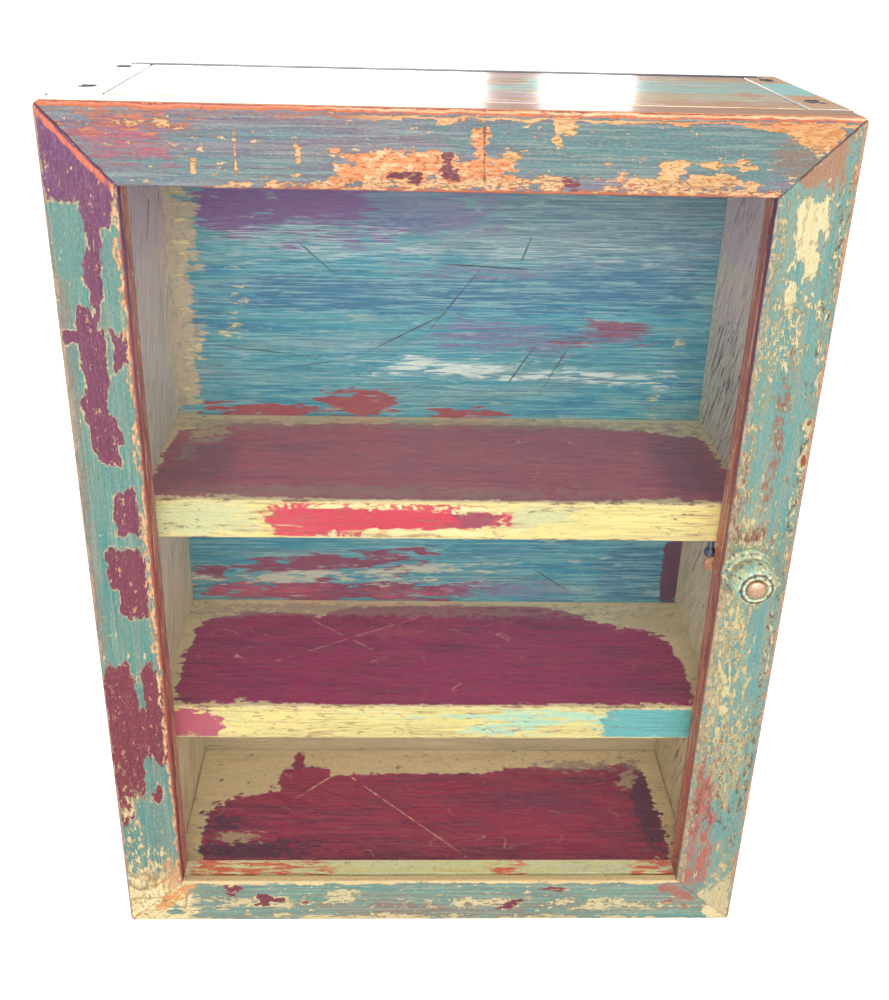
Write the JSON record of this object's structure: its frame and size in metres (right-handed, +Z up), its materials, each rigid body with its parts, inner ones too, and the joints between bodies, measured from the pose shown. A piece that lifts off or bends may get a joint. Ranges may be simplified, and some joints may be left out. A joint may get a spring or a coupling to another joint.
{
  "type": "medicine cabinet",
  "caption": "Wooden wall cabinet with a glazed mitred door on side hinges, housed inner shelves, and a round knob that turns a latch tongue behind the stile.",
  "frame": {"origin": "centre of the cabinet's underside, midway between the door's front face and the back", "axes": "+Z up, +Y towards the wall behind the cabinet, +X to the right as seen from the front"},
  "size_m": [0.4562, 0.2058, 0.59],
  "materials": {
    "side_paint": "taupe and khaki milk paint over wood, brushed, worn at the edges",
    "top_paint": "orange-brown and teal paint under a gloss varnish",
    "shelf_paint": "deep plum paint with bare taupe borders, front edges cream, red and teal",
    "back_paint": "teal, blue and purple brushed paint with scratches",
    "nail_iron": "dark oxidised iron",
    "hinge_steel": "aged steel",
    "door_paint": "layers of teal, plum, orange and cream paint, flaked and worn",
    "bare_wood": "bare wood",
    "bead_paint": "coral and cream paint, worn",
    "clear_glass": "clear float glass",
    "knob_paint": "flaking teal and cream paint over turned wood",
    "bolt_copper": "worn copper-coloured brass",
    "latch_steel": "aged steel",
    "latch_paint": "chipped coral paint on metal",
    "peg_paint": "dark blue gloss paint"
  },
  "bodies": {
    "case": {"side_left": "side_paint", "side_right": "side_paint", "top_board": "top_paint", "bottom_board": "shelf_paint", "back_board": "back_paint", "shelf_upper": "shelf_paint", "shelf_lower": "shelf_paint", "top_nail_left_front": "nail_iron", "shelf_nail_upper_left_front": "nail_iron", "shelf_nail_lower_left_front": "nail_iron", "bottom_nail_left_front": "nail_iron", "top_nail_left_rear": "nail_iron", "shelf_nail_upper_left_rear": "nail_iron", "shelf_nail_lower_left_rear": "nail_iron", "bottom_nail_left_rear": "nail_iron", "back_nail_left_low": "nail_iron", "back_nail_left_high": "nail_iron", "top_nail_right_front": "nail_iron", "shelf_nail_upper_right_front": "nail_iron", "shelf_nail_lower_right_front": "nail_iron", "bottom_nail_right_front": "nail_iron", "top_nail_right_rear": "nail_iron", "shelf_nail_upper_right_rear": "nail_iron", "shelf_nail_lower_right_rear": "nail_iron", "bottom_nail_right_rear": "nail_iron", "back_nail_right_low": "nail_iron", "back_nail_right_high": "nail_iron", "hinge_low_case_leaf": "hinge_steel", "hinge_low_pin": "hinge_steel", "hinge_low_case_screw_low": "hinge_steel", "hinge_low_case_screw_high": "hinge_steel", "hinge_high_case_leaf": "hinge_steel", "hinge_high_pin": "hinge_steel", "hinge_high_case_screw_low": "hinge_steel", "hinge_high_case_screw_high": "hinge_steel", "stop_peg": "peg_paint"},
    "door": {"stile_left": "door_paint", "stile_right": "door_paint", "rail_bottom": "door_paint", "rail_top": "door_paint", "mitre_tongue_low_left": "bare_wood", "mitre_tongue_high_left": "bare_wood", "mitre_tongue_low_right": "bare_wood", "mitre_tongue_high_right": "bare_wood", "glass_pane": "clear_glass", "glazing_bead_left": "bead_paint", "glazing_bead_right": "bead_paint", "glazing_bead_bottom": "bead_paint", "glazing_bead_top": "bead_paint", "hinge_low_door_leaf": "hinge_steel", "hinge_low_door_screw_low": "hinge_steel", "hinge_low_door_screw_high": "hinge_steel", "hinge_high_door_leaf": "hinge_steel", "hinge_high_door_screw_low": "hinge_steel", "hinge_high_door_screw_high": "hinge_steel"},
    "latch": {"knob": "knob_paint", "knob_bolt": "bolt_copper", "latch_spacer": "latch_steel", "latch_tongue": "latch_paint", "latch_nut": "latch_steel"}
  },
  "joints": [
    {"name": "door_hinge", "type": "hinge", "parent": "case", "child": "door", "pos_m": [-0.2282, -0.0655, 0.295], "axis": [0, 0, -1], "range_deg": [0, 180]},
    {"name": "latch_turn", "type": "hinge", "parent": "door", "child": "latch", "pos_m": [0.197, -0.09, 0.306], "axis": [0, -1, 0], "range_deg": [0, 136]}
  ]
}
